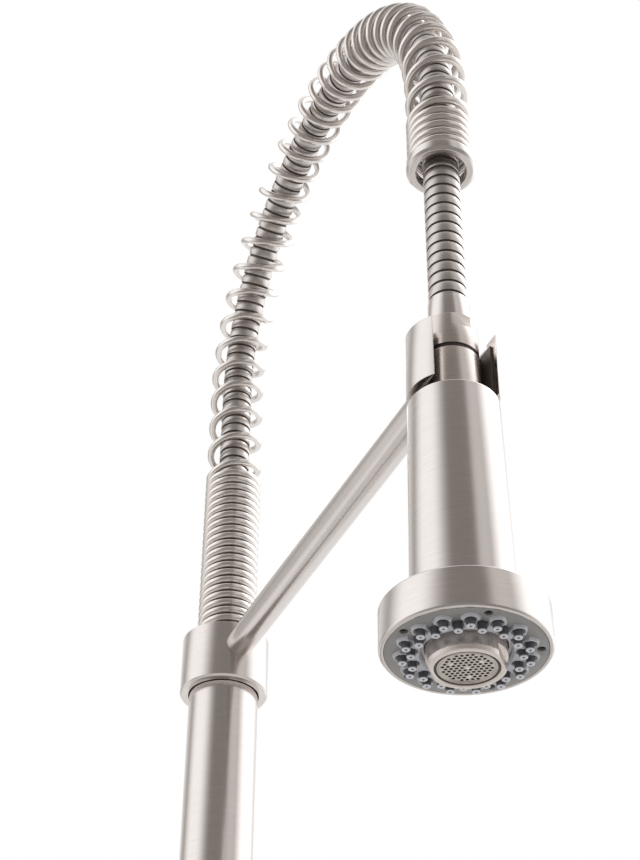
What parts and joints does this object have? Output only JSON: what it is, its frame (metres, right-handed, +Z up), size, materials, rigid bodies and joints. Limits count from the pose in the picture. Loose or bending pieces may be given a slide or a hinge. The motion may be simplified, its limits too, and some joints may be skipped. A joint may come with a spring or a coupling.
{
  "type": "spring kitchen faucet",
  "caption": "Kitchen faucet with a tall column, an open spring arch round a ribbed hose, a side arm with a clip and a pull-down spray head with a bell-shaped jet face.",
  "frame": {"origin": "centre of the base's underside, where the shank enters the deck", "axes": "+Z up along the column, the spray head at -Y, the lever at +X"},
  "size_m": [0.093, 0.2751, 0.6077],
  "materials": {
    "brushed_nickel": "brushed",
    "spring_steel": "satin",
    "hose_steel": "satin",
    "plated_housing": "polished",
    "brass": "turned",
    "steel": "plain",
    "dark_plastic": "matte",
    "white_plastic": "matte",
    "ceramic": "polished",
    "rubber_black": "matte",
    "nozzle_silicone": "satin",
    "face_grey": "satin",
    "liner_hose": "plain",
    "plug_grey": "gloss"
  },
  "bodies": {
    "base": {"deck_flange": "brushed_nickel", "deck_gasket": "rubber_black", "valve_body": "brushed_nickel", "column_seal": "rubber_black", "mounting_shank": "brass", "rubber_washer": "rubber_black", "steel_washer": "steel", "mounting_nut": "brass", "inlet_block": "brass", "inlet_tubes": "brass", "ceramic_cartridge": "white_plastic", "ceramic_discs": "ceramic", "cartridge_nut": "brass", "valve_bonnet": "brushed_nickel", "riser_column": "brushed_nickel", "riser_spigot": "brass"},
    "mixer": {"stem_carrier": "white_plastic", "stem_pin": "steel"},
    "lever": {"lever_stem": "steel", "lever_hub": "brushed_nickel", "lever_rod": "brushed_nickel", "lever_grub": "steel", "hub_plug": "plug_grey"},
    "spout": {"thrust_ring": "dark_plastic", "arm_collar": "brushed_nickel", "collar_screw": "steel", "holder_arm": "brushed_nickel", "holder_clip": "brushed_nickel", "clip_liner": "dark_plastic", "support_spring": "spring_steel", "spring_end_ring": "brushed_nickel", "flexible_hose": "hose_steel", "inner_hose": "liner_hose", "hose_tail": "brass"},
    "hose_end": {"hose_ferrule": "brushed_nickel", "swivel_nut": "brushed_nickel", "nut_seal": "dark_plastic"},
    "spray_head": {"head_neck": "brushed_nickel", "head_body": "brushed_nickel", "check_valve": "brass", "waterway": "white_plastic", "head_core": "white_plastic", "diverter_valve": "white_plastic"},
    "spray_bell": {"head_bell": "brushed_nickel", "spray_housing": "white_plastic", "spray_face": "face_grey", "face_screws": "steel", "nozzle_mat": "nozzle_silicone", "aerator_housing": "plated_housing", "aerator_ring": "dark_plastic", "aerator_screen": "steel"}
  },
  "joints": [
    {"name": "mixer_turn", "type": "hinge", "parent": "base", "child": "mixer", "pos_m": [0.038, 0, 0.062], "axis": [1, 0, 0], "range_deg": [-45, 45]},
    {"name": "lever_lift", "type": "hinge", "parent": "mixer", "child": "lever", "pos_m": [0.038, 0, 0.062], "axis": [0, 1, 0], "range_deg": [0, 25]},
    {"name": "spout_swivel", "type": "hinge", "parent": "base", "child": "spout", "pos_m": [0, 0, 0.28], "axis": [0, 0, 1], "range_deg": [-180, 180]},
    {"name": "head_pull", "type": "slide", "parent": "spout", "child": "hose_end", "axis": [0, -0.6, -0.8], "range_m": [0, 0.12], "stiffness_N_per_m": 100, "springref_m": -0.12, "deforming": ["support_spring", "flexible_hose", "inner_hose"]},
    {"name": "head_spin", "type": "hinge", "parent": "hose_end", "child": "spray_head", "pos_m": [0, -0.2196, 0.285], "axis": [0, 0, 1], "continuous": true},
    {"name": "spray_select", "type": "hinge", "parent": "spray_head", "child": "spray_bell", "pos_m": [0, -0.2196, 0.17], "axis": [0, 0, 1], "range_deg": [0, 60]}
  ]
}
